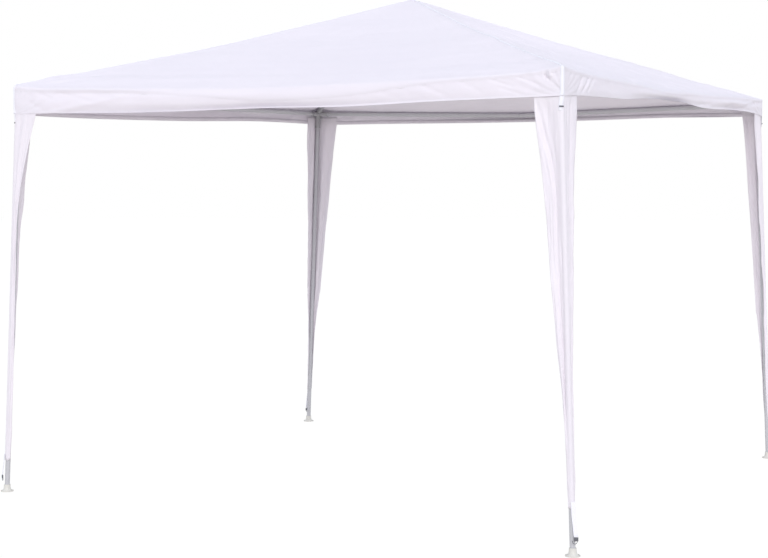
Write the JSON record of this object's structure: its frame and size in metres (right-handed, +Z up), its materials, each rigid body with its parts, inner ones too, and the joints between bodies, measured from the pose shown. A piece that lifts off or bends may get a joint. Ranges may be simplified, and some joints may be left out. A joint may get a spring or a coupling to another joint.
{
  "type": "garden gazebo",
  "caption": "Square push-together garden gazebo: white tube frame with splayed legs on round feet, under a low pyramid cover with straight valances and tapered leg skirts.",
  "frame": {"origin": "centre of the footprint on the ground, midway between the four feet", "axes": "+Z up to the roof peak; the front side faces -Y and the right side faces +X, the way the legs lean outward"},
  "size_m": [3.1904, 3.0656, 2.5849],
  "materials": {
    "steel": "white powder coat on thin steel tube, satin",
    "fitting_plastic": "moulded grey plastic",
    "foot_plastic": "moulded pale grey plastic",
    "roof_sheet": "white woven polyethylene sheet, coated",
    "valance_sheet": "white woven polyethylene sheet, hemmed",
    "skirt_sheet": "white woven polyethylene sheet, lightly pleated"
  },
  "bodies": {
    "root": {"foot_front_right": "foot_plastic", "foot_back_right": "foot_plastic", "foot_back_left": "foot_plastic", "foot_front_left": "foot_plastic", "leg_lower_front_right": "steel", "leg_upper_front_right": "steel", "leg_lower_back_right": "steel", "leg_upper_back_right": "steel", "leg_lower_back_left": "steel", "leg_upper_back_left": "steel", "leg_lower_front_left": "steel", "leg_upper_front_left": "steel", "corner_fitting_front_right": "fitting_plastic", "corner_fitting_back_right": "fitting_plastic", "corner_fitting_back_left": "fitting_plastic", "corner_fitting_front_left": "fitting_plastic", "eave_pole_front_a": "steel", "eave_pole_front_b": "steel", "eave_pole_right_a": "steel", "eave_pole_right_b": "steel", "eave_pole_back_a": "steel", "eave_pole_back_b": "steel", "eave_pole_left_a": "steel", "eave_pole_left_b": "steel", "roof_pole_lower_front_right": "steel", "roof_pole_upper_front_right": "steel", "roof_pole_lower_back_right": "steel", "roof_pole_upper_back_right": "steel", "roof_pole_lower_back_left": "steel", "roof_pole_upper_back_left": "steel", "roof_pole_lower_front_left": "steel", "roof_pole_upper_front_left": "steel", "crown_fitting": "fitting_plastic", "roof_panel_front": "roof_sheet", "roof_panel_right": "roof_sheet", "roof_panel_back": "roof_sheet", "roof_panel_left": "roof_sheet", "valance_front": "valance_sheet", "valance_right": "valance_sheet", "valance_back": "valance_sheet", "valance_left": "valance_sheet", "leg_skirt_front_right": "skirt_sheet", "leg_skirt_back_right": "skirt_sheet", "leg_skirt_back_left": "skirt_sheet", "leg_skirt_front_left": "skirt_sheet"}
  },
  "joints": []
}
